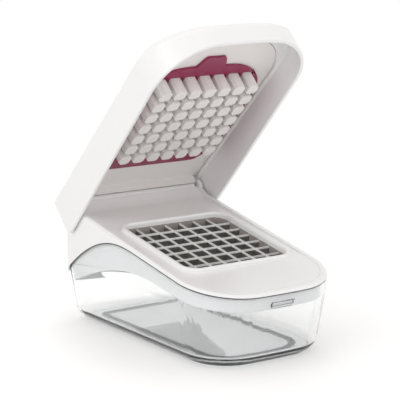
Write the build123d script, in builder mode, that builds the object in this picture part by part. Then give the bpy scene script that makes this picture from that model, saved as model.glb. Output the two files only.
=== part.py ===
from build123d import *
import os
from math import acos, cos, radians, sin, tan

os.makedirs("parts", exist_ok=True)

# Millimetres. +Z is up, the front points along -Y and the hinge is at the rear.
# The origin is on the surface the chopper stands on, under the middle of the open
# chopper. The body reaches a little further to the front than to the rear of it.

# Body outline at the parting line
body_w = 116.0
body_l = 194.0
body_front = -99.6
front_r = 40.0
front_bow = 3.5
rear_r = 14.0

# Clear catch container
draft_top = 43.0
wall_draft = 9.6
container_top = 76.0
container_wall = 2.6
container_floor = 4.2
bottom_bevel = 5.5
inner_bevel = 3.0

# Soft grip ring under the container
foot_h = 0.8
ring_w = 5.0
ring_seat = 1.4
ring_inset = 20.0
ring_front_r = 23.0
ring_rear_r = 8.0

# Raised bar of the snap on the container's front wall
snap_w = 21.0
snap_h = 4.4
snap_proud = 1.2
snap_bevel = 0.6
snap_below_rim = 6.6

# Blade opening: a plane tilted down to the front
deck_tilt = 10.2
lip_from_front = 90.0
lip_z = 71.0
pitch = 12.3
cells = 7
opening_r = 8.7
lip_w = 3.6

# Heights measured square to the lip's plane, all below it
rim_drop = 5.0
edge_drop = 0.9
front_edge_drop = 2.8
deck_drop = 3.0
holder_drop = 4.2
blade_drop = 4.3

# Parting line between container and frame, seen from the side: the turn is measured
# from the lip's middle, the other points from the rear
rim_turn_at = 4.0
crest_at = 73.0
crest_z = 68.7
fall_at = 54.0
fall_z = 65.0
pour_at = 24.0
pour_z = 50.0
rear_rim_z = 32.0

# Lower edge of the frame's inner skirt, measured in the same way
skirt_below_rim = 8.2
skirt_turn_at = -24.0
skirt_turn_z = 49.3
skirt_crest_at = 89.0
skirt_crest_z = 51.4
skirt_fall_at = 49.0
skirt_fall_z = 43.4
skirt_rear_at = 10.0
skirt_rear_z = 29.5

# White top frame
frame_over = 0.5
parting_gap = 0.35
edge_w = 4.2
edge_bevel = 1.4
deck_t = 2.4
skirt_wall = 1.8
skirt_gap = 0.4
lip_bevel = 1.1
ramp_before_hinge = 17.5
ramp_r = 26.0
wall_over_hinge = 1.4
step_below_top = 17.4
step_h = 6.0
step_in = 5.6
step_wall = 2.6

# Low ridge on the skirt that clicks into a pocket behind the snap bar
ridge_w = 17.0
ridge_h = 1.6
ridge_proud = 0.25
pocket_w = 18.0
pocket_h = 2.2
pocket_depth = 1.2

# Hinge: its drop is measured square to the lip's plane
hinge_from_rear = 10.5
hinge_drop = 0.8
ear_r = 6.5
ear_t = 3.0
pin_r = 2.5
pin_play = 0.05
pin_in_lid = 1.8
pin_end_gap = 0.1
pin_in_wall = 2.0
lid_open = 44.0

# Blades and the ring that carries them
blade_t = 0.5
blade_h = 11.0
bevel_h = 1.6
edge_t = 0.1
blade_seat = 1.6
blade_gap = 0.1
lap_gap = 0.03
holder_wall = 2.6
holder_h = 13.0
holder_gap = 0.2
collar_wall = 2.2

# Lid: lengths run forward from the hinge axis, heights are above it
lid_gap = 1.6
lid_wall = 2.6
lid_front_gap = 3.2
lid_back = 14.0
lid_top_h = 13.2
lid_top_rise = 0.019
nose_run = 46.0
nose_h = 9.0
lid_bevel = 4.5
lid_inner_bevel = 3.0
lid_front_r = 42.0
lid_front_bow = 5.0
lid_rear_r = 7.0
skirt_rear_h = -20.5
skirt_rear_back = 6.5
skirt_bend_back = 11.8
skirt_bend_h = -13.5
skirt_end_h = -3.0
skirt_nose_run = 42.6
skirt_nose_h = -13.2
skirt_front_h = -8.0
back_wall_h = 7.0

# Pusher panel inside the lid
panel_t = 1.5
panel_face_h = 8.9
panel_inset = 1.2
panel_gap = 0.25
panel_back = 1.5
panel_front_in = 18.0
panel_front_r = 38.0
panel_rear_r = 2.0
turn_down_at = 3.4
turn_down_t = 2.0
turn_down_h = 2.4
turn_down_gap = 1.0
boss_w = 7.0
boss_rear = 24.0
boss_front_in = 22.0
boss_side_in = 14.0

# Pusher fingers
finger_tip_h = -5.3
finger_w = 9.2
finger_corner = 2.6

# Cleaning grate
grate_t = 2.0
grate_seat = 0.1
hole_gap = 0.35
grate_side_gap = 4.5
grate_front_margin = 8.5
grate_rear_margin = 21.8
grate_front_r = 38.0
grate_rear_r = 10.0
grate_front_bow = 4.5
tab_w = 28.0
tab_tip_w = 16.0
tab_len = 10.0
tab_round = 3.0

opening = cells * pitch
half_w = body_w / 2
body_rear = body_front + body_l
reach = body_l
slope = tan(radians(deck_tilt))
tilt_cos = cos(radians(deck_tilt))
tilt_sin = sin(radians(deck_tilt))
lip_y = body_front + lip_from_front
hinge_y = body_rear - hinge_from_rear
hinge_z = lip_z + (hinge_y - lip_y) * slope - hinge_drop / tilt_cos
wall_top_z = hinge_z + wall_over_hinge
step_z = wall_top_z - step_below_top
over_all = 2 * wall_top_z
lip_plane = Plane(origin=(0, lip_y, lip_z), x_dir=(1, 0, 0), z_dir=(0, -tilt_sin, tilt_cos))
side_plane = Plane.YZ


def deck_z(y, drop):
    """Height of the plane that lies a drop below the lip's plane, at y."""
    return lip_z + (y - lip_y) * slope - drop / tilt_cos


def outline(plane, half, front, rear, r_front, r_rear, bow):
    """Plan shape: straight flanks, bowed front edge, rounded corners."""
    with BuildSketch(plane, mode=Mode.PRIVATE) as shape:
        with BuildLine():
            ThreePointArc((-half, front + bow), (0, front), (half, front + bow))
            Polyline((half, front + bow), (half, rear), (-half, rear), (-half, front + bow))
        make_face()
        fillet(shape.vertices().group_by(Axis.Y)[0], r_front)
        fillet(shape.vertices().group_by(Axis.Y)[-1], r_rear)
    return shape.sketch


def body_outline(z, inset):
    """The body's outline at a height, moved in by an inset."""
    return outline(
        Plane.XY.offset(z),
        half_w - inset,
        body_front + inset,
        body_rear - inset,
        front_r - inset,
        rear_r - inset,
        front_bow,
    )


def container_form(inset, lowest):
    """Body of the container's shape: upright walls over walls with a draft."""
    upright = extrude(body_outline(draft_top, inset), amount=container_top - draft_top, mode=Mode.PRIVATE)
    block = extrude(body_outline(lowest, inset), amount=draft_top - lowest, mode=Mode.PRIVATE)
    walls = [face for face in block.faces() if abs(face.normal_at().Z) < 0.5]
    return upright + draft(walls, Plane.XY.offset(draft_top), -wall_draft)


def over_rim(lift):
    """Side face of all that lies over the parting line."""
    rear_slope = (pour_z - rear_rim_z) / pour_at
    turn_y = lip_y + rim_turn_at
    points = [
        (turn_y, deck_z(turn_y, rim_drop) + lift),
        (body_rear - crest_at, crest_z + lift),
        (body_rear - fall_at, fall_z + lift),
        (body_rear - pour_at, pour_z + lift),
        (body_rear, rear_rim_z + lift),
    ]
    end = (reach, rear_rim_z + lift - (reach - body_rear) * rear_slope)
    start = (-reach, deck_z(-reach, rim_drop) + lift)
    with BuildSketch(side_plane, mode=Mode.PRIVATE) as side:
        with BuildLine():
            Line(start, points[0])
            Spline(*points, tangents=[(1, slope), (1, -rear_slope)])
            Polyline(points[-1], end, (reach, over_all), (-reach, over_all), start)
        make_face()
    return side.sketch


def over_skirt():
    """Side face of all that lies over the skirt's lower edge."""
    front = (-reach, deck_z(-reach, rim_drop) - skirt_below_rim)
    turn = (lip_y + skirt_turn_at, skirt_turn_z)
    points = [
        turn,
        (body_rear - skirt_crest_at, skirt_crest_z),
        (body_rear - skirt_fall_at, skirt_fall_z),
        (body_rear - skirt_rear_at, skirt_rear_z),
    ]
    rear_slope = (skirt_fall_z - skirt_rear_z) / (skirt_fall_at - skirt_rear_at)
    front_slope = (turn[1] - front[1]) / (turn[0] - front[0])
    end = (reach, skirt_rear_z - (reach - points[-1][0]) * rear_slope)
    with BuildSketch(side_plane, mode=Mode.PRIVATE) as side:
        with BuildLine():
            Line(front, turn)
            Spline(*points, tangents=[(1, front_slope), (1, -rear_slope)])
            Polyline(points[-1], end, (reach, over_all), (-reach, over_all), front)
        make_face()
    return side.sketch


def over_deck(depth, front_depth, wall_z):
    """Side face of the space over a surface that lies a depth under the deck.

    The depth at the front edge may differ. To the rear the surface runs up on an
    arc and ends in a level top.
    """
    radius = ramp_r + depth
    ramp_y = hinge_y - ramp_before_hinge
    centre_y = ramp_y - ramp_r * tilt_sin
    centre_z = deck_z(ramp_y, deck_drop) + ramp_r * tilt_cos
    first = radians(deck_tilt)
    last = acos((centre_z - wall_z) / radius)
    start, middle, end = [
        (centre_y + radius * sin(angle), centre_z - radius * cos(angle))
        for angle in (first, (first + last) / 2, last)
    ]
    rise = (start[1] - deck_z(body_front, deck_drop + front_depth)) / (start[0] - body_front)
    front = (-reach, start[1] - (start[0] + reach) * rise)
    with BuildSketch(side_plane, mode=Mode.PRIVATE) as side:
        with BuildLine():
            Line(front, start)
            ThreePointArc(start, middle, end)
            Polyline(end, (reach, wall_z), (reach, over_all), (-reach, over_all), front)
        make_face()
    return side.sketch


def behind_step(inset):
    """Side face of the space behind the stepped rear wall."""
    rear = body_rear + frame_over - inset
    low = step_z - inset / 2
    with BuildSketch(side_plane, mode=Mode.PRIVATE) as side:
        with BuildLine():
            Polyline(
                (rear, 0),
                (rear, low),
                (rear - step_in, low + step_h),
                (rear - step_in, over_all),
                (reach, over_all),
                (reach, 0),
                close=True,
            )
        make_face()
    return side.sketch


def across(face):
    """A side face drawn out over the whole width."""
    return extrude(face, amount=body_w, both=True, mode=Mode.PRIVATE)


def top_face(solid, plane):
    """The solid's highest face, seen from a plane."""
    return max(solid.faces(), key=lambda face: plane.to_local_coords(face.center()).Z)


# Catch container

with BuildPart() as container_body:
    add(container_form(0, foot_h))
    chamfer(container_body.faces().sort_by(Axis.Z)[0].edges(), bottom_bevel)

with BuildPart() as container_hollow:
    add(container_form(container_wall, foot_h + container_floor))
    chamfer(container_hollow.faces().sort_by(Axis.Z)[0].edges(), inner_bevel)

snap_z = deck_z(body_front, rim_drop) - snap_below_rim
with BuildPart() as snap_bar:
    with BuildSketch(Plane.XZ.offset(-body_front - front_bow - container_wall / 2)):
        with Locations((0, snap_z)):
            SlotOverall(snap_w, snap_h)
    extrude(amount=front_bow + container_wall / 2 + snap_proud)
    chamfer(snap_bar.faces().sort_by(Axis.Y)[0].edges(), snap_bevel)

ring_outer, ring_inner = [
    outline(
        Plane.XY.offset(foot_h),
        half_w - ring_inset - inner,
        body_front + ring_inset + inner,
        body_rear - ring_inset - inner,
        ring_front_r - inner,
        ring_rear_r - inner,
        front_bow,
    )
    for inner in (0, ring_w)
]

with BuildPart() as catch_container:
    add(container_body.part)
    add(snap_bar.part)
    add(container_hollow.part, mode=Mode.SUBTRACT)
    add(across(over_rim(0)), mode=Mode.SUBTRACT)
    extrude(ring_outer - ring_inner, amount=ring_seat, mode=Mode.SUBTRACT)
    with BuildSketch(Plane.XZ.offset(-body_front - 2 * container_wall)):
        with Locations((0, snap_z)):
            SlotOverall(pocket_w, pocket_h)
    extrude(amount=container_wall + pocket_depth, mode=Mode.SUBTRACT)
catch_container.part.label = "catch_container"

# Grip ring

with BuildPart() as base_grip_ring:
    extrude(ring_outer - ring_inner, amount=ring_seat)
    extrude(ring_outer - ring_inner, amount=-foot_h)
base_grip_ring.part.label = "base_grip_ring"

# Top frame

skirt_inset = container_wall + skirt_gap
hollow_inset = skirt_inset + skirt_wall
edge_depth = edge_drop - deck_drop
front_edge_depth = front_edge_drop - deck_drop
pocket_half = opening / 2 + holder_wall + holder_gap
collar_size = 2 * (pocket_half + collar_wall)

with BuildPart() as frame_shell:
    extrude(body_outline(0, -frame_over), amount=over_all)
    add(across(over_rim(parting_gap)), mode=Mode.INTERSECT)
    add(across(over_deck(edge_depth, front_edge_depth, wall_top_z)), mode=Mode.SUBTRACT)
    add(across(behind_step(0)), mode=Mode.SUBTRACT)
    tops = [f for f in frame_shell.faces() if f.normal_at().Z > 0.5 and f.center().Y < hinge_y]
    brim = [edge for top in tops for edge in top.edges()]
    chamfer([edge for edge in brim if brim.count(edge) == 1], edge_bevel)

with BuildPart() as frame_skirt:
    add(container_form(skirt_inset, foot_h))
    add(across(over_skirt()), mode=Mode.INTERSECT)
    add(across(over_deck(0, 0, wall_top_z - deck_t / 2)), mode=Mode.SUBTRACT)
    add(across(behind_step(skirt_inset)), mode=Mode.SUBTRACT)

with BuildPart() as frame_hollow:
    add(container_form(hollow_inset, foot_h))
    add(across(over_deck(deck_t, deck_t, wall_top_z - deck_t)), mode=Mode.SUBTRACT)
    add(across(behind_step(step_wall + frame_over)), mode=Mode.SUBTRACT)

with BuildPart() as dish:
    extrude(body_outline(0, edge_w), amount=over_all)
    add(across(over_deck(0, 0, wall_top_z)), mode=Mode.INTERSECT)

with BuildPart() as lip:
    with BuildSketch(lip_plane.offset(-deck_drop - deck_t / 2)):
        RectangleRounded(opening + 2 * lip_w, opening + 2 * lip_w, opening_r + lip_w)
        RectangleRounded(opening, opening, opening_r, mode=Mode.SUBTRACT)
    extrude(amount=deck_drop + deck_t / 2)
    chamfer(top_face(lip.part, lip_plane).edges(), lip_bevel)

with BuildPart() as ridge:
    with BuildSketch(Plane.XZ.offset(-body_front - front_bow - hollow_inset)):
        with Locations((0, snap_z)):
            SlotOverall(ridge_w, ridge_h)
    extrude(amount=front_bow + hollow_inset)
    extrude(body_outline(0, skirt_inset - ridge_proud), amount=over_all, mode=Mode.INTERSECT)

with BuildPart() as top_frame:
    add(frame_shell.part)
    add(frame_skirt.part)
    add(dish.part, mode=Mode.SUBTRACT)
    add(frame_hollow.part, mode=Mode.SUBTRACT)
    with BuildSketch(lip_plane.offset(-holder_drop - holder_h)):
        RectangleRounded(collar_size, collar_size, opening_r + holder_wall + collar_wall)
    extrude(amount=holder_h + holder_drop - deck_drop - deck_t / 2)
    add(lip.part)
    with BuildSketch(lip_plane):
        RectangleRounded(opening, opening, opening_r)
    extrude(amount=2 * holder_h, both=True, mode=Mode.SUBTRACT)
    with BuildSketch(lip_plane.offset(-holder_drop)):
        RectangleRounded(2 * pocket_half, 2 * pocket_half, opening_r + holder_wall)
    extrude(amount=-2 * holder_h, mode=Mode.SUBTRACT)
    add(ridge.part)
    for side in (-1, 1):
        with BuildSketch(Plane.YZ.offset(side * (half_w + frame_over - ear_t))):
            with Locations((hinge_y, hinge_z)):
                Circle(ear_r)
            with Locations((hinge_y, hinge_z - ear_r)):
                Rectangle(2 * ear_r, 2 * ear_r)
        extrude(amount=side * ear_t)
        with BuildSketch(Plane.YZ.offset(side * (half_w + frame_over))):
            with Locations((hinge_y, hinge_z)):
                Circle(pin_r)
        extrude(amount=-side * (ear_t + pin_in_wall), mode=Mode.SUBTRACT)
top_frame.part.label = "top_frame"

# Blade holder: the ring under the lip, slotted for every blade's ends

blade_len = opening + 2 * blade_seat
line_count = cells - 1
offsets = [(i - (line_count - 1) / 2) * pitch for i in range(line_count)]
slot_w = blade_t + 2 * lap_gap
holder_plane = lip_plane.offset(-holder_drop)
blade_top = lip_plane.offset(-blade_drop)

with BuildPart() as blade_holder:
    with BuildSketch(holder_plane):
        outer = 2 * (pocket_half - holder_gap)
        RectangleRounded(outer, outer, opening_r + holder_wall)
        RectangleRounded(opening, opening, opening_r, mode=Mode.SUBTRACT)
    extrude(amount=-holder_h)
    with BuildSketch(holder_plane):
        for offset in offsets:
            with Locations((offset, 0)):
                Rectangle(slot_w, blade_len + 2 * blade_gap)
            with Locations((0, offset)):
                Rectangle(blade_len + 2 * blade_gap, slot_w)
    extrude(amount=-(blade_drop + blade_h + blade_gap - holder_drop), mode=Mode.SUBTRACT)
blade_holder.part.label = "blade_holder"

# Blades: six long ones notched from below, six cross ones notched from above

half_drop = blade_drop + blade_h / 2


def blade(section, centres, notch_plane, notch_depth, name):
    """A bevelled blade of a section's plane, notched where others cross it."""
    with BuildPart() as strip:
        with BuildSketch(section):
            with BuildLine():
                Polyline(
                    (-blade_t / 2, -blade_drop - blade_h),
                    (blade_t / 2, -blade_drop - blade_h),
                    (blade_t / 2, -blade_drop - bevel_h),
                    (edge_t / 2, -blade_drop),
                    (-edge_t / 2, -blade_drop),
                    (-blade_t / 2, -blade_drop - bevel_h),
                    close=True,
                )
            make_face()
        extrude(amount=blade_len / 2, both=True)
        with BuildSketch(notch_plane):
            with Locations(*centres):
                Rectangle(slot_w, slot_w)
        extrude(amount=notch_depth, mode=Mode.SUBTRACT)
    strip.part.label = name
    return strip


blades = []
for number, offset in enumerate(offsets, start=1):
    blades.append(
        blade(
            Plane(lip_plane.from_local_coords((offset, 0, 0)), x_dir=(1, 0, 0), z_dir=-lip_plane.y_dir),
            [(offset, other) for other in offsets],
            lip_plane.offset(-half_drop + lap_gap),
            -blade_h,
            f"long_blade_{number}",
        )
    )
    blades.append(
        blade(
            Plane(lip_plane.from_local_coords((0, offset, 0)), x_dir=lip_plane.y_dir, z_dir=(1, 0, 0)),
            [(other, offset) for other in offsets],
            lip_plane.offset(-half_drop - lap_gap),
            blade_h,
            f"cross_blade_{number}",
        )
    )

# Hinge pins, fixed in the frame's ears

pins = []
for name, side in (("left", -1), ("right", 1)):
    with BuildPart() as pin:
        with BuildSketch(Plane.YZ.offset(side * (half_w + frame_over - ear_t - pin_in_wall))):
            with Locations((hinge_y, hinge_z)):
                Circle(pin_r)
        extrude(amount=side * (pin_in_wall + ear_t - frame_over + lid_gap + pin_in_lid))
    pin.part.label = f"hinge_pin_{name}"
    pins.append(pin)

# Lid shell: a hood that closes down over the outside of the frame

lean = radians(lid_open)
lid_plane = Plane((0, hinge_y, hinge_z), x_dir=(1, 0, 0), z_dir=(0, sin(lean), cos(lean)))
lid_side = Plane((0, hinge_y, hinge_z), x_dir=lid_plane.y_dir, z_dir=(1, 0, 0))
lid_half = half_w + lid_gap + lid_wall
front_edge_z = deck_z(body_front, front_edge_drop)
edge_at = (hinge_y - body_front) * tilt_cos + (hinge_z - front_edge_z) * tilt_sin
lid_front = edge_at + lid_front_gap + lid_wall
panel_front = lid_front - lid_wall - panel_front_in
boss_x = half_w - boss_side_in


def lid_section(drop, rear):
    """Side face of the lid's depth: under a surface below its top, over its rim."""
    nose_at = lid_front - nose_run
    nose_top = lid_top_h + nose_at * lid_top_rise - drop
    bend = (skirt_nose_run - lid_front, skirt_nose_h)
    heel = (skirt_rear_back, skirt_rear_h)
    rim_rise = (skirt_nose_h - skirt_rear_h) / (heel[0] - bend[0])
    with BuildSketch(lid_side, mode=Mode.PRIVATE) as side:
        with BuildLine():
            Line((rear, lid_top_h - rear * lid_top_rise - drop), (-nose_at, nose_top))
            TangentArc((-nose_at, nose_top), (-lid_front, nose_h - drop), tangent=(-1, lid_top_rise))
            Line((-lid_front, nose_h - drop), (-lid_front, skirt_front_h))
            TangentArc(bend, (-lid_front, skirt_front_h), tangent=(-1, rim_rise))
            Line(bend, heel)
            ThreePointArc(heel, (skirt_bend_back, skirt_bend_h), (rear, skirt_end_h))
            Line((rear, skirt_end_h), (rear, lid_top_h - rear * lid_top_rise - drop))
        make_face()
    return side.sketch


def across_lid(face):
    """A side face of the lid drawn out over the whole width."""
    return extrude(face, amount=body_w, both=True, mode=Mode.PRIVATE)


def lid_outline(height, inset):
    """The lid's outline at a height, moved in by an inset."""
    return outline(
        lid_plane.offset(height),
        lid_half - inset,
        -lid_front + inset,
        lid_back - inset,
        lid_front_r - inset,
        lid_rear_r - inset,
        lid_front_bow,
    )


def panel_outline(height, inset):
    """The pusher panel's outline at a height, moved in by an inset."""
    return outline(
        lid_plane.offset(height),
        half_w + lid_gap - panel_inset - inset,
        -panel_front + inset,
        -panel_back - inset,
        panel_front_r - inset,
        panel_rear_r,
        lid_front_bow,
    )


with BuildPart() as hood:
    extrude(lid_outline(0, 0), amount=reach, both=True)
    add(across_lid(lid_section(0, lid_back)), mode=Mode.INTERSECT)
    tops = [f for f in hood.faces() if lid_plane.to_local_coords(f).normal_at().Z > 0.7]
    seam = [e for e in tops[0].edges() if e in tops[1].edges()]
    chamfer([e for top in tops for e in top.edges() if e not in seam], lid_bevel)

with BuildPart() as hood_hollow:
    extrude(lid_outline(panel_face_h, lid_wall), amount=-reach)
    chamfer(top_face(hood_hollow.part, lid_plane).edges(), lid_inner_bevel)

with BuildPart() as panel_pocket:
    extrude(panel_outline(panel_face_h - panel_t, -panel_gap), amount=reach)
    add(across_lid(lid_section(lid_wall, lid_back)), mode=Mode.INTERSECT)

with BuildPart() as lid_shell:
    add(hood.part)
    add(hood_hollow.part, mode=Mode.SUBTRACT)
    add(panel_pocket.part, mode=Mode.SUBTRACT)
    with BuildSketch(lid_plane.offset(back_wall_h)):
        with Locations((0, lid_back)):
            Rectangle(2 * (lid_half - lid_wall), 2 * lid_back)
    extrude(amount=-reach, mode=Mode.SUBTRACT)
    for row in (boss_rear, panel_front - boss_front_in):
        with BuildSketch(lid_plane.offset(panel_face_h + panel_t)):
            with Locations((-boss_x, -row), (boss_x, -row)):
                Rectangle(boss_w, boss_w)
        extrude(amount=lid_top_h + row * lid_top_rise - lid_wall / 2 - panel_face_h - panel_t)
    for side in (-1, 1):
        with BuildSketch(Plane.YZ.offset(side * (half_w + lid_gap))):
            with Locations((hinge_y, hinge_z)):
                Circle(pin_r + pin_play)
        extrude(amount=side * (pin_in_lid + pin_end_gap), mode=Mode.SUBTRACT)
lid_shell.part.label = "lid_shell"

# Pusher panel: the plate that closes the lid's inside, turned down at its rear

with BuildPart() as pusher_panel:
    extrude(panel_outline(panel_face_h, 0), amount=panel_t)
    with BuildSketch(lid_plane.offset(panel_face_h)):
        with Locations((0, -turn_down_at - turn_down_t / 2)):
            Rectangle(2 * (half_w + frame_over - ear_t - turn_down_gap), turn_down_t)
    extrude(amount=turn_down_h - panel_face_h)
pusher_panel.part.label = "pusher_panel"

# Pusher fingers: one post for every cell of the blade grid

finger_at = (hinge_y - lip_y) * tilt_cos + (hinge_z - lip_z) * tilt_sin

with BuildPart() as pusher_fingers:
    with BuildSketch(lid_plane.offset(panel_face_h)) as posts:
        with Locations((0, -finger_at)):
            with GridLocations(pitch, pitch, cells, cells):
                Rectangle(finger_w, finger_w)
        chamfer(posts.vertices(), finger_corner)
    extrude(amount=finger_tip_h - panel_face_h)
pusher_fingers.part.label = "pusher_fingers"

# Cleaning grate: slips over the fingers and pushes the scraps off their tips

grate_front = finger_at + opening / 2 + grate_front_margin

with BuildPart() as cleaning_grate:
    with BuildSketch(lid_plane.offset(panel_face_h - grate_seat)) as web:
        add(
            outline(
                Plane.XY,
                half_w + lid_gap - grate_side_gap,
                -grate_front,
                -finger_at + opening / 2 + grate_rear_margin,
                grate_front_r,
                grate_rear_r,
                grate_front_bow,
            )
        )
        with BuildLine():
            Polyline(
                (-tab_w / 2, -grate_front + grate_front_bow),
                (-tab_tip_w / 2, -grate_front - tab_len),
                (tab_tip_w / 2, -grate_front - tab_len),
                (tab_w / 2, -grate_front + grate_front_bow),
                close=True,
            )
        make_face()
        fillet(web.vertices().group_by(Axis.Y)[0], tab_round)
        with Locations((0, -finger_at)):
            with GridLocations(pitch, pitch, cells, cells):
                Rectangle(finger_w + 2 * hole_gap, finger_w + 2 * hole_gap, mode=Mode.SUBTRACT)
    extrude(amount=-grate_t)
cleaning_grate.part.label = "cleaning_grate"

fixed = [catch_container, base_grip_ring, top_frame, blade_holder]
lid_parts = [lid_shell, pusher_panel, pusher_fingers, cleaning_grate]
for piece in fixed + blades + pins + lid_parts:
    export_step(piece.part, "parts/" + piece.part.label + ".step")
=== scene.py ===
from math import cos, radians, sin

import bmesh
import bpy
from mathutils import Matrix, Vector


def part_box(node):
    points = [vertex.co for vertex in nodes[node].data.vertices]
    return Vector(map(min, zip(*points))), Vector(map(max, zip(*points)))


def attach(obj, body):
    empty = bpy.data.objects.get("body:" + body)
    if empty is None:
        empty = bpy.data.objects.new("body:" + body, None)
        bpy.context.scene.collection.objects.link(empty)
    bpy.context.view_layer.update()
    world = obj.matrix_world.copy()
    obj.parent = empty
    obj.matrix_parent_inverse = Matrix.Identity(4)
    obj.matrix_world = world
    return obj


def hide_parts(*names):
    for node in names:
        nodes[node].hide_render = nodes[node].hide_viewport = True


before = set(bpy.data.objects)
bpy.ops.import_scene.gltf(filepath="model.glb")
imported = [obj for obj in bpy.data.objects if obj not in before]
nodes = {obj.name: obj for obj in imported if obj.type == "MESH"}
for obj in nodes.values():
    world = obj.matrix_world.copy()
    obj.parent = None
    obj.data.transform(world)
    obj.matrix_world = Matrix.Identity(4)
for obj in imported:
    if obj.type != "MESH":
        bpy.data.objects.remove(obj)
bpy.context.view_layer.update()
scene = bpy.context.scene
scene.view_settings.view_transform = "Standard"

blade_names = [f"{way}_blade_{number}" for way in ("long", "cross") for number in range(1, 7)]

# Finishes shared by the moulded parts, with their scales in repeats per metre

drift_scale = 18.0
smudge_scale = 55.0


def moulded_skin():
    """Moulded plastic: slow tone drift, smudged gloss and a fine mould texture."""
    group = bpy.data.node_groups.new("Moulded Skin", "ShaderNodeTree")
    sockets = group.interface
    sockets.new_socket("Tone", in_out="INPUT", socket_type="NodeSocketColor")
    sockets.new_socket("Shade Tone", in_out="INPUT", socket_type="NodeSocketColor")
    sockets.new_socket("Gloss Low", in_out="INPUT", socket_type="NodeSocketFloat")
    sockets.new_socket("Gloss High", in_out="INPUT", socket_type="NodeSocketFloat")
    sockets.new_socket("Grain Size", in_out="INPUT", socket_type="NodeSocketFloat")
    sockets.new_socket("Color", in_out="OUTPUT", socket_type="NodeSocketColor")
    sockets.new_socket("Roughness", in_out="OUTPUT", socket_type="NodeSocketFloat")
    sockets.new_socket("Grain", in_out="OUTPUT", socket_type="NodeSocketFloat")
    node = group.nodes
    link = group.links.new
    given = node.new("NodeGroupInput")
    result = node.new("NodeGroupOutput")
    place = node.new("ShaderNodeTexCoord")
    drift = node.new("ShaderNodeTexNoise")
    drift.inputs["Scale"].default_value = drift_scale
    drift.inputs["Detail"].default_value = 3.0
    link(place.outputs["Object"], drift.inputs["Vector"])
    tone = node.new("ShaderNodeMix")
    tone.data_type = "RGBA"
    link(drift.outputs["Fac"], tone.inputs["Factor"])
    link(given.outputs["Tone"], tone.inputs["A"])
    link(given.outputs["Shade Tone"], tone.inputs["B"])
    link(tone.outputs["Result"], result.inputs["Color"])
    smudge = node.new("ShaderNodeTexNoise")
    smudge.inputs["Scale"].default_value = smudge_scale
    smudge.inputs["Detail"].default_value = 5.0
    link(place.outputs["Object"], smudge.inputs["Vector"])
    gloss = node.new("ShaderNodeMapRange")
    gloss.inputs["From Min"].default_value = 0.2
    gloss.inputs["From Max"].default_value = 0.8
    link(smudge.outputs["Fac"], gloss.inputs["Value"])
    link(given.outputs["Gloss Low"], gloss.inputs["To Min"])
    link(given.outputs["Gloss High"], gloss.inputs["To Max"])
    link(gloss.outputs["Result"], result.inputs["Roughness"])
    grain = node.new("ShaderNodeTexNoise")
    grain.inputs["Detail"].default_value = 2.0
    link(place.outputs["Object"], grain.inputs["Vector"])
    link(given.outputs["Grain Size"], grain.inputs["Scale"])
    link(grain.outputs["Fac"], result.inputs["Grain"])
    return group


skin_group = moulded_skin()


def new_material(name):
    """A material with only its Principled shader and its output."""
    material = bpy.data.materials.new(name)
    material.use_nodes = True
    tree = material.node_tree
    tree.nodes.clear()
    shader = tree.nodes.new("ShaderNodeBsdfPrincipled")
    output = tree.nodes.new("ShaderNodeOutputMaterial")
    tree.links.new(shader.outputs["BSDF"], output.inputs["Surface"])
    return material, tree, shader


def output_of(tree):
    """The material output of a node tree."""
    return next(node for node in tree.nodes if node.type == "OUTPUT_MATERIAL")


def moulded(name, tone, shade_tone, gloss, grain_size, grain_depth):
    """A moulded plastic or rubber with its own tones, gloss range and grain."""
    material, tree, shader = new_material(name)
    link = tree.links.new
    skin = tree.nodes.new("ShaderNodeGroup")
    skin.node_tree = skin_group
    skin.inputs["Tone"].default_value = (*tone, 1.0)
    skin.inputs["Shade Tone"].default_value = (*shade_tone, 1.0)
    skin.inputs["Gloss Low"].default_value = gloss[0]
    skin.inputs["Gloss High"].default_value = gloss[1]
    skin.inputs["Grain Size"].default_value = grain_size
    bump = tree.nodes.new("ShaderNodeBump")
    bump.inputs["Strength"].default_value = 0.25
    bump.inputs["Distance"].default_value = grain_depth
    link(skin.outputs["Color"], shader.inputs["Base Color"])
    link(skin.outputs["Roughness"], shader.inputs["Roughness"])
    link(skin.outputs["Grain"], bump.inputs["Height"])
    link(bump.outputs["Normal"], shader.inputs["Normal"])
    return material, tree, shader


def gloss_white():
    """Bright white housing plastic with a clear, satin shine."""
    material, tree, shader = moulded(
        "Gloss White Plastic", (0.87, 0.87, 0.87), (0.855, 0.855, 0.855), (0.30, 0.38), 900.0, 0.00002
    )
    shader.inputs["Coat Weight"].default_value = 0.2
    shader.inputs["Coat Roughness"].default_value = 0.1
    return material


def warm_shade_white():
    """Soft off-white plastic of the pusher, with a warmer, darker tint painted in for the warm shade
    inside the lid.
    """
    return moulded(
        "Warm White Painted Shade", (0.84, 0.82, 0.80), (0.82, 0.80, 0.78), (0.36, 0.46), 1300.0, 0.00004
    )[0]


def post_end_light_paint(name, tone, shade_tone):
    """Off-white plastic of the posts' ends, in tones that paint light: a darker painted shade on the
    flat ends, a brighter painted highlight on the edges round them.
    """
    return moulded(name, tone, shade_tone, (0.40, 0.52), 1300.0, 0.00004)[0]


def taupe_grey():
    """Grey-brown plastic of the ring that holds the blades."""
    return moulded(
        "Taupe Grey Plastic", (0.36, 0.325, 0.305), (0.315, 0.285, 0.27), (0.36, 0.50), 1200.0, 0.00004
    )[0]


def magenta():
    """Deep magenta plastic of the cleaning grate."""
    return moulded(
        "Magenta Plastic", (0.30, 0.018, 0.085), (0.235, 0.012, 0.062), (0.30, 0.42), 1300.0, 0.00005
    )[0]


def grip_rubber():
    """Matte grey rubber of the ring under the container."""
    return moulded(
        "Grip Rubber", (0.84, 0.83, 0.84), (0.78, 0.77, 0.78), (0.50, 0.66), 2200.0, 0.0001
    )[0]


def rim_shadow_paint():
    """Dark strip along the container's rim: a painted shadow of the gap under the frame."""
    return moulded(
        "Rim Painted Shadow", (0.055, 0.06, 0.06), (0.04, 0.045, 0.045), (0.35, 0.5), 2200.0, 0.00005
    )[0]


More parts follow.
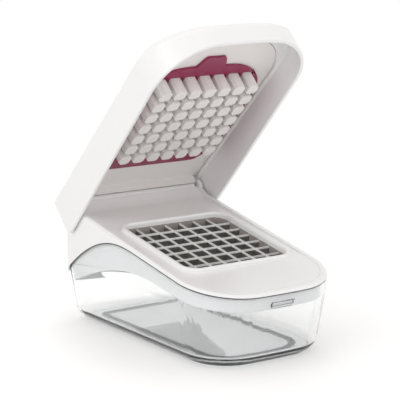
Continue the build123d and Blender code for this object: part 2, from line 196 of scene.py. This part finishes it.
def clear():
    """Clear moulded plastic of the container."""
    material, tree, shader = moulded(
        "Clear Plastic", (0.985, 0.99, 0.99), (0.975, 0.985, 0.985), (0.015, 0.05), 140.0, 0.00004
    )
    shader.inputs["Transmission Weight"].default_value = 1.0
    shader.inputs["IOR"].default_value = 1.46
    path = tree.nodes.new("ShaderNodeLightPath")
    let_through = tree.nodes.new("ShaderNodeMath")
    let_through.operation = "MULTIPLY"
    let_through.inputs[1].default_value = 0.92
    tree.links.new(path.outputs["Is Shadow Ray"], let_through.inputs[0])
    open_way = tree.nodes.new("ShaderNodeBsdfTransparent")
    blend = tree.nodes.new("ShaderNodeMixShader")
    tree.links.new(let_through.outputs[0], blend.inputs["Fac"])
    tree.links.new(shader.outputs["BSDF"], blend.inputs[1])
    tree.links.new(open_way.outputs["BSDF"], blend.inputs[2])
    tree.links.new(blend.outputs["Shader"], output_of(tree).inputs["Surface"])
    return material


def ground_steel(name, tone, shade_tone, gloss, grain, metal):
    """Steel with fine lines drawn out by its grain's scale."""
    material, tree, shader = new_material(name)
    node = tree.nodes
    link = tree.links.new
    place = node.new("ShaderNodeTexCoord")
    drawn_out = node.new("ShaderNodeMapping")
    drawn_out.inputs["Scale"].default_value = grain
    link(place.outputs["Object"], drawn_out.inputs["Vector"])
    lines = node.new("ShaderNodeTexNoise")
    lines.inputs["Scale"].default_value = 1.0
    lines.inputs["Detail"].default_value = 4.0
    link(drawn_out.outputs["Vector"], lines.inputs["Vector"])
    shade = node.new("ShaderNodeMix")
    shade.data_type = "RGBA"
    shade.inputs["A"].default_value = (*tone, 1.0)
    shade.inputs["B"].default_value = (*shade_tone, 1.0)
    link(lines.outputs["Fac"], shade.inputs["Factor"])
    link(shade.outputs["Result"], shader.inputs["Base Color"])
    rough = node.new("ShaderNodeMapRange")
    rough.inputs["To Min"].default_value = gloss[0]
    rough.inputs["To Max"].default_value = gloss[1]
    link(lines.outputs["Fac"], rough.inputs["Value"])
    link(rough.outputs["Result"], shader.inputs["Roughness"])
    bump = node.new("ShaderNodeBump")
    bump.inputs["Strength"].default_value = 0.2
    bump.inputs["Distance"].default_value = 0.00003
    link(lines.outputs["Fac"], bump.inputs["Height"])
    link(bump.outputs["Normal"], shader.inputs["Normal"])
    shader.inputs["Metallic"].default_value = metal
    return material


white_plastic = gloss_white()
# The pusher's off-white, tinted warmer and darker as painted shade of the lid's inside.
warm_shade_plastic = warm_shade_white()
# Painted light on the posts' ends: a darker painted shade for the flat tips, a brighter painted
# highlight for their rear-facing edges.
painted_shade_end = post_end_light_paint("Post End Painted Shade", (0.80, 0.78, 0.76), (0.77, 0.75, 0.73))
painted_highlight_edge = post_end_light_paint("Post Edge Painted Highlight", (0.96, 0.955, 0.95), (0.94, 0.935, 0.93))
taupe_plastic = taupe_grey()
magenta_plastic = magenta()
ring_rubber = grip_rubber()
# Dark strip material: painted shadow of the gap between the tub's rim and the frame.
rim_shadow_dark = rim_shadow_paint()
clear_plastic = clear()
along_blade = (35.0, 35.0, 2400.0)
across_edge = (2400.0, 2400.0, 40.0)
round_pin = (900.0, 60.0, 60.0)
blade_steel = ground_steel(
    "Blade Steel", (0.37, 0.36, 0.34), (0.29, 0.285, 0.265), (0.26, 0.42), along_blade, 0.85
)
# Near-white, less metallic steel for the edges: partly their own ground finish, partly a painted
# highlight.
edge_steel_highlight = ground_steel(
    "Ground Edge Steel Painted Highlight", (0.97, 0.97, 0.96), (0.92, 0.92, 0.91), (0.34, 0.44), across_edge, 0.3
)
pin_steel = ground_steel(
    "Pin Steel", (0.70, 0.70, 0.70), (0.62, 0.62, 0.62), (0.2, 0.34), round_pin, 1.0
)

# Pieces with rounded edges, made from the frame's own forms, in metres

sharp_turn = radians(32)
flat_turn = radians(0.6)
weld = 1e-6
corner_turn = 28.0


def merged(node):
    """A copy of a CAD node as one closed form with whole faces."""
    form = bmesh.new()
    form.from_mesh(nodes[node].data)
    bmesh.ops.remove_doubles(form, verts=form.verts, dist=weld)
    bmesh.ops.dissolve_limit(form, angle_limit=flat_turn, verts=form.verts, edges=form.edges)
    return form


def eased(form, edges, width, steps):
    """Rounds chosen edges of a form."""
    bmesh.ops.bevel(
        form,
        geom=edges,
        offset=width,
        offset_type="OFFSET",
        segments=steps,
        profile=0.5,
        affect="EDGES",
        material=-1,
        clamp_overlap=False,
    )


def rounded(form, width, steps, corner=corner_turn):
    """Rounds the edges of a form that turn by more than a corner's angle."""
    corners = [edge for edge in form.edges if edge.calc_face_angle(0.0) > radians(corner)]
    eased(form, corners, width, steps)


def finished(form, name, material, body):
    """A piece from a form, smooth over its roundings, riding on its body."""
    mesh = bpy.data.meshes.new(name)
    form.normal_update()
    form.to_mesh(mesh)
    form.free()
    mesh.materials.append(material)
    mesh.shade_smooth()
    mesh.set_sharp_from_angle(angle=sharp_turn)
    piece = bpy.data.objects.new(name, mesh)
    scene.collection.objects.link(piece)
    even = piece.modifiers.new("Even Shading", "WEIGHTED_NORMAL")
    even.keep_sharp = True
    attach(piece, body)
    return piece


def softened(node, name, material, body, width, steps):
    """Shows a CAD node's form with rounded edges in the node's place."""
    form = merged(node)
    rounded(form, width, steps)
    piece = finished(form, name, material, body)
    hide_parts(node)


tub_foot_top = 0.020
tub_floor_under = 0.004
clip_reach = 0.013
clip_front = -0.090
clip_top = 0.048


def near_clip(place, top):
    """True for a place on the front wall round the snap bar, below a height."""
    return abs(place.x) < clip_reach and place.y < clip_front and place.z < top


def clear_container():
    """The tub, with its foot rounded outside and inside and its rim eased."""
    form = merged("catch_container")
    groups = {"clip": [], "rim": [], "seat": [], "foot_top": [], "foot_base": [], "inside": []}
    for edge in form.edges:
        turn = edge.calc_face_angle_signed(0.0)
        if abs(turn) < radians(22):
            continue
        middle = (edge.verts[0].co + edge.verts[1].co) / 2
        slanted = abs(turn) < radians(68)
        if middle.z > tub_foot_top:
            groups["clip" if near_clip(middle, clip_top) else "rim"].append(edge)
        elif turn < 0 and middle.z > tub_floor_under:
            groups["inside"].append(edge)
        elif turn > 0 and slanted:
            groups["foot_top" if middle.z > tub_floor_under else "foot_base"].append(edge)
        else:
            groups["seat"].append(edge)
    for name, width, steps in (
        ("foot_top", 0.0036, 5),
        ("foot_base", 0.0012, 3),
        ("inside", 0.0012, 3),
        ("rim", 0.0007, 3),
        ("clip", 0.0001, 1),
        ("seat", 0.0002, 1),
    ):
        eased(form, groups[name], width, steps)
    piece = finished(form, "Clear_Container", clear_plastic, "container")
    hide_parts("catch_container")


clear_container()
softened("base_grip_ring", "Grip_Ring", ring_rubber, "container", 0.0003, 2)
softened("top_frame", "White_Frame", white_plastic, "frame", 0.0004, 3)
softened("blade_holder", "Blade_Ring", taupe_plastic, "frame", 0.0002, 1)
softened("lid_shell", "Lid_Hood", white_plastic, "lid", 0.0006, 3)
softened("pusher_panel", "Pusher_Plate", warm_shade_plastic, "lid", 0.0003, 2)

# The open lid's posts and the grate round them

hinge_line = Vector((0.0, 0.0839, 0.08701))
lid_turn = Matrix.Rotation(-radians(44), 4, "X")
lid_rearward = lid_turn @ Vector((0.0, 1.0, 0.0))
rows_each_way = 3
post_pitch = 0.0123
post_w = 0.0092
post_length = 0.0142
post_corner = 0.0019
block_corner = 0.0029
block_reach = rows_each_way * post_pitch + post_w / 2 - 0.0001
tip_round = 0.0005


def upright_edges(form, on_block_corner):
    """The posts' long edges, either on the block's own four corners or all the others."""
    found = []
    for edge in form.edges:
        start, end = (vert.co for vert in edge.verts)
        at_corner = min(abs(start.x), abs(start.y)) > block_reach
        if abs(start.z - end.z) > post_length / 2 and at_corner == on_block_corner:
            found.append(edge)
    return found


def pusher_posts():
    """Seven rows of seven posts with cut corners; the block's own four corners are cut more."""
    form = bmesh.new()
    post_size = Matrix.Diagonal((post_w, post_w, post_length, 1.0))
    for column in range(-rows_each_way, rows_each_way + 1):
        for row in range(-rows_each_way, rows_each_way + 1):
            place = Matrix.Translation((column * post_pitch, row * post_pitch, 0.0))
            bmesh.ops.create_cube(form, size=1.0, matrix=place @ post_size)
    eased(form, upright_edges(form, False), post_corner, 1)
    eased(form, upright_edges(form, True), block_corner, 1)
    near_end = -0.49 * post_length
    tips = [edge for edge in form.edges if max(vert.co.z for vert in edge.verts) < near_end]
    eased(form, tips, tip_round, 2)
    form.normal_update()
    # Painted light on the tips: downward faces tilted towards +y take the painted highlight, the other
    # downward faces the painted shade.
    for face in form.faces:
        downward = -face.normal.z
        if downward > 0.1:
            face.material_index = 2 if face.normal.y > 0.05 else 1
    low, high = (Vector(corner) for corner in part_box("pusher_fingers"))
    bmesh.ops.transform(form, matrix=Matrix.Translation((low + high) / 2) @ lid_turn, verts=form.verts)
    piece = finished(form, "Pusher_Posts", warm_shade_plastic, "lid")
    piece.data.materials.append(painted_shade_end)
    piece.data.materials.append(painted_highlight_edge)
    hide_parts("pusher_fingers")


def cut_off(form, place, outward):
    """Cuts away what lies beyond a plane and closes the cut."""
    whole = form.verts[:] + form.edges[:] + form.faces[:]
    bmesh.ops.bisect_plane(form, geom=whole, plane_co=place, plane_no=outward, clear_outer=True)
    open_edges = [edge for edge in form.edges if edge.is_boundary]
    bmesh.ops.holes_fill(form, edges=open_edges, sides=0)


def cleaning_grate():
    """The grate, with its two rear corners cut and rounded."""
    form = merged("cleaning_grate")
    rear_edge = hinge_line - 0.030 * lid_rearward
    cut_reach = 0.0411
    corner_zone = 0.016
    for side in (-1, 1):
        outward = (Vector((side, 0.0, 0.0)) + lid_rearward).normalized()
        cut_off(form, rear_edge + Vector((side * cut_reach, 0.0, 0.0)), outward)
    form.normal_update()
    corners = []
    for edge in form.edges:
        start = edge.verts[0].co
        outside = abs(start.x) > 0.0405 and (start - rear_edge).dot(lid_rearward) > -corner_zone
        turn = edge.calc_face_angle_signed(0.0)
        if outside and radians(40) < turn < radians(50) and edge.calc_length() > 0.0015:
            corners.append(edge)
    eased(form, corners, 0.007, 5)
    rounded(form, 0.0003, 2, 60.0)
    piece = finished(form, "Pull_Off_Grate", magenta_plastic, "grate")
    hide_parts("cleaning_grate")


pusher_posts()
cleaning_grate()

# Blades with their ground edges

deck_tilt = radians(10.2)
deck_up = Vector((0.0, -sin(deck_tilt), cos(deck_tilt)))


def blade(node):
    """A blade whose upward faces, its ground edge and top, get a near-white steel: partly the ground
    finish, partly a painted highlight.
    """
    form = merged(node)
    form.normal_update()
    for face in form.faces:
        # Faces turned up towards the light take the near-white steel, a painted highlight on the
        # ground edge.
        face.material_index = int(face.normal.dot(deck_up) > 0.08)
    piece = finished(form, node.title(), blade_steel, "frame")
    piece.data.materials.append(edge_steel_highlight)
    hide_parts(node)


for name in blade_names:
    blade(name)

# The painted shadow line at the tub's rim and the rounded top of the frame's rear wall

body_middle = Vector((0.0, -0.0026, 0.0))
band_above_rim = 0.00028
band_depth = 0.00075
bead_r = 0.0039
bead_length = 0.1068
bead_underside = Vector((0.0, 0.0, 0.0882))


def rim_shadow_band():
    """A thin dark band that caps the tub's rim, just under the white frame: a painted shadow of the
    gap between them.
    """
    form = merged("catch_container")
    form.normal_update()
    beside = []
    for face in form.faces:
        middle = face.calc_center_median()
        below_rim = middle.z < 0.026 or near_clip(middle, 0.0575)
        if face.normal.z < 0.3 or below_rim:
            beside.append(face)
    bmesh.ops.delete(form, geom=beside, context="FACES")
    about = Matrix.Translation(-body_middle)
    bmesh.ops.scale(form, vec=(1.0022, 1.0013, 1.0), space=about, verts=form.verts)
    bmesh.ops.translate(form, vec=(0.0, 0.0, band_above_rim), verts=form.verts)
    lower = bmesh.ops.extrude_face_region(form, geom=form.faces[:], use_keep_orig=True)["geom"]
    lower = [item for item in lower if isinstance(item, bmesh.types.BMVert)]
    bmesh.ops.translate(form, vec=(0.0, 0.0, -band_depth), verts=lower)
    bmesh.ops.recalc_face_normals(form, faces=form.faces)
    finished(form, "Rim_Shadow_Band", rim_shadow_dark, "container")


def wall_bead():
    """A bead round the hinge line, on the frame's rear wall, that the lid's flange wipes past."""
    form = bmesh.new()
    bmesh.ops.create_cone(
        form,
        cap_ends=True,
        segments=64,
        radius1=bead_r,
        radius2=bead_r,
        depth=bead_length,
        matrix=Matrix.Translation(hinge_line) @ Matrix.Rotation(radians(90), 4, "Y"),
    )
    cut_off(form, bead_underside, Vector((0.0, 0.0, -1.0)))
    rounded(form, 0.0006, 3, 50.0)
    finished(form, "Wall_Bead", white_plastic, "frame")


rim_shadow_band()
wall_bead()

# Hinge pins, shown as they are

for name in ("hinge_pin_left", "hinge_pin_right"):
    nodes[name].data.materials.clear()
    nodes[name].data.materials.append(pin_steel)

# Camera

camera_data = bpy.data.cameras.new("Camera")
camera_data.lens = 146.44
camera_data.sensor_width = 36.0
camera_data.clip_end = 20.0
camera = bpy.data.objects.new("Camera", camera_data)
camera.location = (-0.6459, -0.9312, 0.3212)
camera.rotation_euler = Vector((0.56002, 0.80548, -0.19384)).to_track_quat("-Z", "Y").to_euler()
scene.collection.objects.link(camera)
scene.camera = camera

# Floor, white surroundings and lamps


def seen_directly(tree):
    """One where the camera looks, straight, in a reflection or through the clear wall."""
    path = tree.nodes.new("ShaderNodeLightPath")
    seen = path.outputs["Is Camera Ray"]
    for ray in ("Is Glossy Ray", "Is Transmission Ray"):
        either = tree.nodes.new("ShaderNodeMath")
        either.operation = "MAXIMUM"
        tree.links.new(seen, either.inputs[0])
        tree.links.new(path.outputs[ray], either.inputs[1])
        seen = either.outputs[0]
    return seen


surround_light = 0.745
warm_white_light = (1.0, 0.965, 0.945, 1.0)
surrounds = bpy.data.worlds.new("White Surrounds")
scene.world = surrounds
surrounds.use_nodes = True
tree = surrounds.node_tree
tree.nodes.clear()
soft_sky = tree.nodes.new("ShaderNodeBackground")
soft_sky.inputs["Strength"].default_value = surround_light
soft_sky.inputs["Color"].default_value = warm_white_light
white_sky = tree.nodes.new("ShaderNodeBackground")
white_sky.inputs["Color"].default_value = (1.0, 1.0, 1.0, 1.0)
sky = tree.nodes.new("ShaderNodeMixShader")
sky_output = tree.nodes.new("ShaderNodeOutputWorld")
tree.links.new(seen_directly(tree), sky.inputs["Fac"])
tree.links.new(soft_sky.outputs["Background"], sky.inputs[1])
tree.links.new(white_sky.outputs["Background"], sky.inputs[2])
tree.links.new(sky.outputs["Shader"], sky_output.inputs["Surface"])


floor_lift = 0.22
shadow_reach = 0.10
plain_from = 0.29


def white_floor():
    """A white floor that holds the shadow near the object and is plain white far off."""
    material, tree, shader = new_material("White Floor")
    link = tree.links.new
    shader.inputs["Base Color"].default_value = (0.86, 0.86, 0.86, 1.0)
    shader.inputs["Roughness"].default_value = 0.7
    shader.inputs["Emission Color"].default_value = (1.0, 1.0, 1.0, 1.0)
    lift = tree.nodes.new("ShaderNodeMath")
    lift.operation = "MULTIPLY"
    lift.inputs[1].default_value = floor_lift
    link(seen_directly(tree), lift.inputs[0])
    link(lift.outputs[0], shader.inputs["Emission Strength"])
    place = tree.nodes.new("ShaderNodeTexCoord")
    reach = tree.nodes.new("ShaderNodeVectorMath")
    reach.operation = "LENGTH"
    link(place.outputs["Object"], reach.inputs[0])
    far = tree.nodes.new("ShaderNodeMapRange")
    far.interpolation_type = "SMOOTHSTEP"
    far.inputs["From Min"].default_value = shadow_reach
    far.inputs["From Max"].default_value = plain_from
    link(reach.outputs["Value"], far.inputs["Value"])
    far_seen = tree.nodes.new("ShaderNodeMath")
    far_seen.operation = "MULTIPLY"
    link(far.outputs["Result"], far_seen.inputs[0])
    link(seen_directly(tree), far_seen.inputs[1])
    plain = tree.nodes.new("ShaderNodeEmission")
    blend = tree.nodes.new("ShaderNodeMixShader")
    link(far_seen.outputs[0], blend.inputs["Fac"])
    link(shader.outputs["BSDF"], blend.inputs[1])
    link(plain.outputs["Emission"], blend.inputs[2])
    link(blend.outputs["Shader"], output_of(tree).inputs["Surface"])
    return material


form = bmesh.new()
bmesh.ops.create_grid(form, x_segments=1, y_segments=1, size=6.0)
floor_mesh = bpy.data.meshes.new("Floor")
form.to_mesh(floor_mesh)
form.free()
floor_mesh.materials.append(white_floor())
floor = bpy.data.objects.new("Floor", floor_mesh)
scene.collection.objects.link(floor)


lamp_white = (0.97, 0.985, 1.0)
lamps_face = Vector((0.0, 0.0, 0.08))


def lamp(name, place, size, power):
    """A soft square lamp that faces the chopper."""
    light = bpy.data.lights.new(name, "AREA")
    light.size = size
    light.energy = power
    light.color = lamp_white
    holder = bpy.data.objects.new(name, light)
    holder.location = place
    facing = lamps_face - Vector(place)
    holder.rotation_euler = facing.to_track_quat("-Z", "Y").to_euler()
    scene.collection.objects.link(holder)


lamp("Key Lamp", (-1.3, -0.2, 0.75), 0.9, 5.0)
lamp("Front Lamp", (-0.4, -1.6, 0.3), 1.2, 4.7)
lamp("Side Lamp", (1.3, -0.9, 0.6), 1.0, 3.0)
lamp("Top Lamp", (0.15, 0.5, 1.7), 0.9, 4.8)
